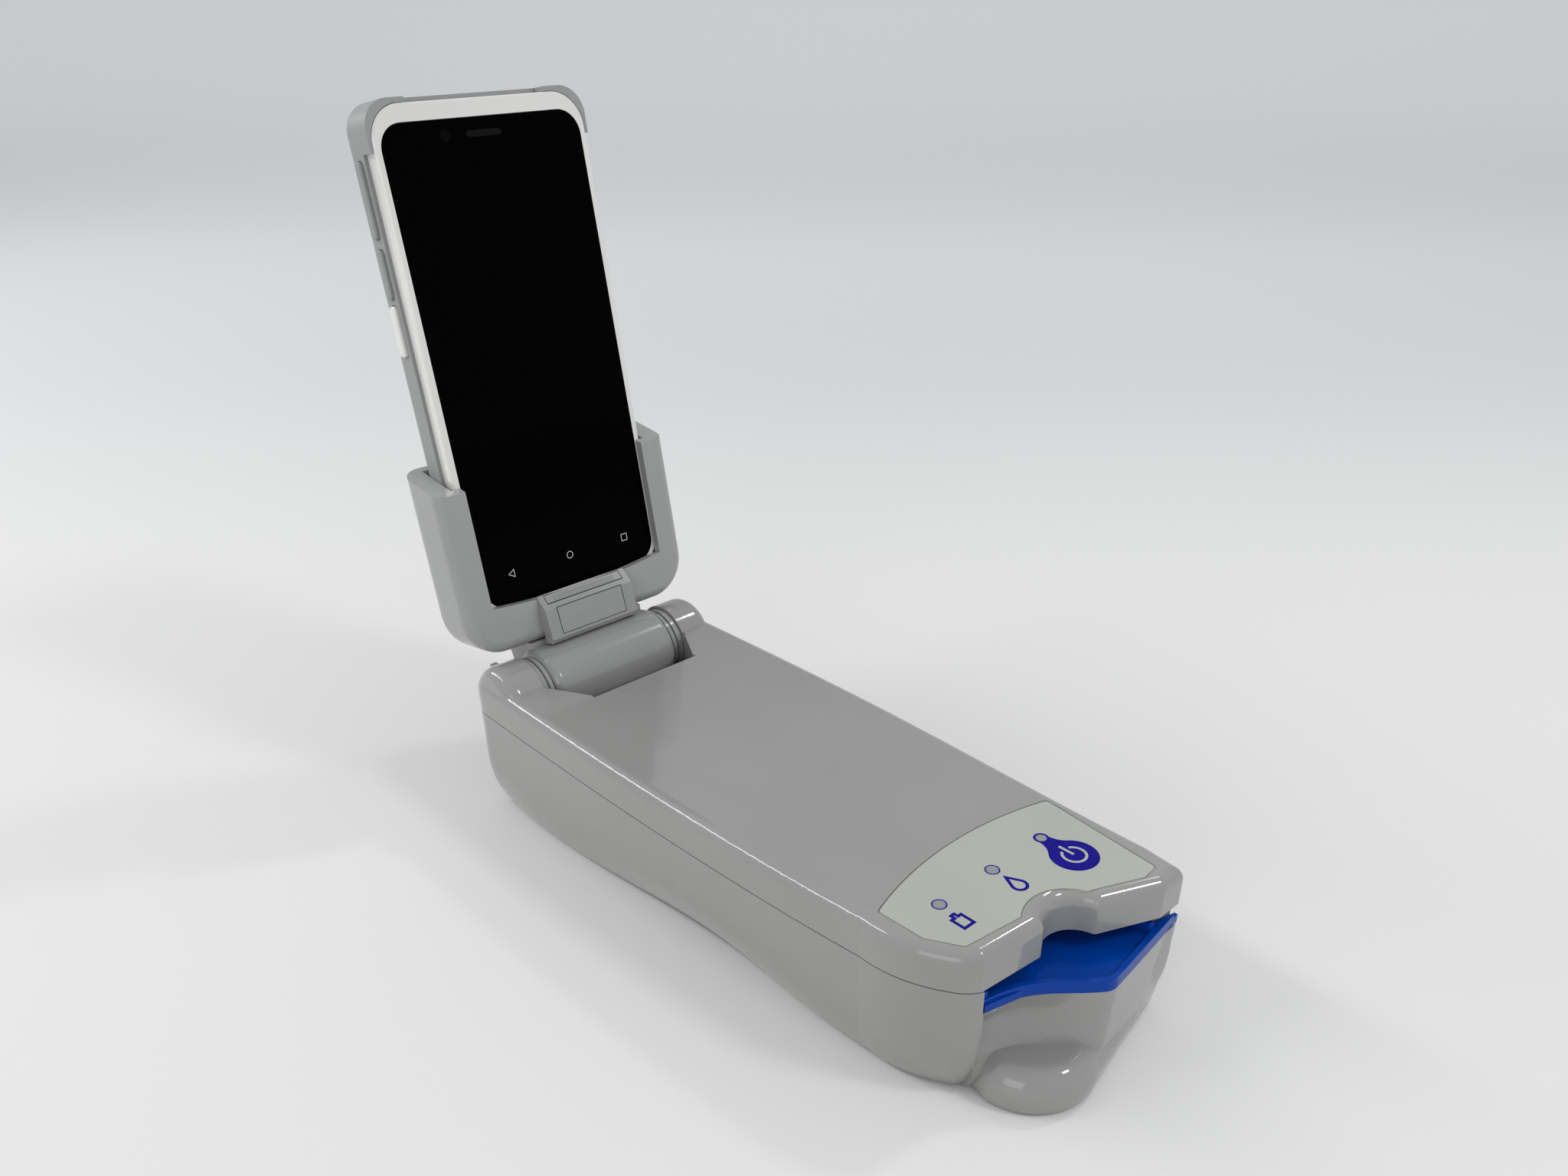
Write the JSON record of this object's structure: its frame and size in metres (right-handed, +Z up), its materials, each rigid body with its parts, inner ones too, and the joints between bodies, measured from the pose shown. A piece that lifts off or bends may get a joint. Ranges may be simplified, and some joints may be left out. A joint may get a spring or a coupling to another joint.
{
  "type": "handheld blood gas card reader",
  "caption": "Handheld blood gas reader with a slanted card slot and blue tray, and a hinged cradle with a latch that holds a docked rugged touch-screen host.",
  "frame": {"origin": "on the surface the reader stands on, under the middle of its body, on the flat underside of the front sole pad", "axes": "+X to the right as seen from the card slot, +Y back from the card slot to the hinge, +Z up"},
  "size_m": [0.09, 0.2722, 0.2225],
  "materials": {
    "shell_grey": "satin",
    "label_grey": "satin",
    "tray_blue": "gloss",
    "icon_blue": "satin",
    "lens_clear": "gloss",
    "cradle_grey": "satin",
    "boot_rubber": "satin",
    "frame_white": "gloss",
    "glass_black": "gloss",
    "panel_black": "gloss",
    "pad_rubber": "matte",
    "steel": "brushed",
    "contact_gold": "polished",
    "board_green": "satin",
    "chip_black": "matte",
    "battery_grey": "matte",
    "heater_metal": "satin",
    "inner_plastic": "matte",
    "key_grey": "satin",
    "key_pale": "satin",
    "mesh_metal": "satin"
  },
  "bodies": {
    "reader": {"lower_shell": "shell_grey", "top_cover": "shell_grey", "label_panel": "label_grey", "status_lenses": "lens_clear", "key_board": "board_green", "card_tray": "tray_blue", "card_guide": "inner_plastic", "code_reader": "chip_black", "heater_plate": "heater_metal", "contact_block": "inner_plastic", "contact_pins": "contact_gold", "actuator_can": "steel", "main_board": "board_green", "board_chips": "chip_black", "battery_pack": "battery_grey", "battery_lid": "shell_grey", "lid_screws": "steel", "case_screws": "steel", "sole_pads": "pad_rubber", "charge_board": "board_green", "charge_pins": "contact_gold", "hinge_shaft": "steel", "hinge_collars": "cradle_grey"},
    "cradle": {"cradle_arm": "cradle_grey", "cradle_shell": "cradle_grey", "dock_connector": "inner_plastic", "arm_screws": "steel", "latch_housing": "cradle_grey", "latch_plate": "cradle_grey"},
    "host": {"host_boot": "boot_rubber", "host_frame": "frame_white", "host_glass": "glass_black", "earpiece_mesh": "mesh_metal", "front_camera": "panel_black", "display_panel": "panel_black", "host_board": "board_green", "host_battery": "battery_grey", "rear_camera": "panel_black", "scan_window": "panel_black", "host_screws": "steel"},
    "latch": {"latch_tab": "cradle_grey"},
    "button": {"power_button": "icon_blue"},
    "key_u": {"key_upper": "key_grey"},
    "key_m": {"key_middle": "key_grey"},
    "key_w": {"key_white": "key_pale"},
    "plunger_body": {"plunger": "inner_plastic"}
  },
  "joints": [
    {"name": "cradle_tilt", "type": "hinge", "parent": "reader", "child": "cradle", "pos_m": [0, 0.0965, 0.043], "axis": [1, 0, 0], "range_deg": [-25, 50]},
    {"name": "host_lift", "type": "slide", "parent": "cradle", "child": "host", "axis": [0, 0.1771, 0.9842], "range_m": [0, 0.07]},
    {"name": "latch_press", "type": "slide", "parent": "cradle", "child": "latch", "axis": [0, -0.1771, -0.9842], "range_m": [0, 0.002], "stiffness_N_per_m": 800},
    {"name": "power_press", "type": "slide", "parent": "reader", "child": "button", "axis": [0, 0, -1], "range_m": [0, 0.0005], "stiffness_N_per_m": 1500},
    {"name": "key_upper_press", "type": "slide", "parent": "host", "child": "key_u", "axis": [1, 0, 0], "range_m": [0, 0.0006], "stiffness_N_per_m": 1500},
    {"name": "key_middle_press", "type": "slide", "parent": "host", "child": "key_m", "axis": [1, 0, 0], "range_m": [0, 0.0006], "stiffness_N_per_m": 1500},
    {"name": "key_white_press", "type": "slide", "parent": "host", "child": "key_w", "axis": [1, 0, 0], "range_m": [0, 0.0006], "stiffness_N_per_m": 1500},
    {"name": "plunger_slide", "type": "slide", "parent": "reader", "child": "plunger_body", "axis": [0, 0, 1], "range_m": [0, 0.004]}
  ]
}
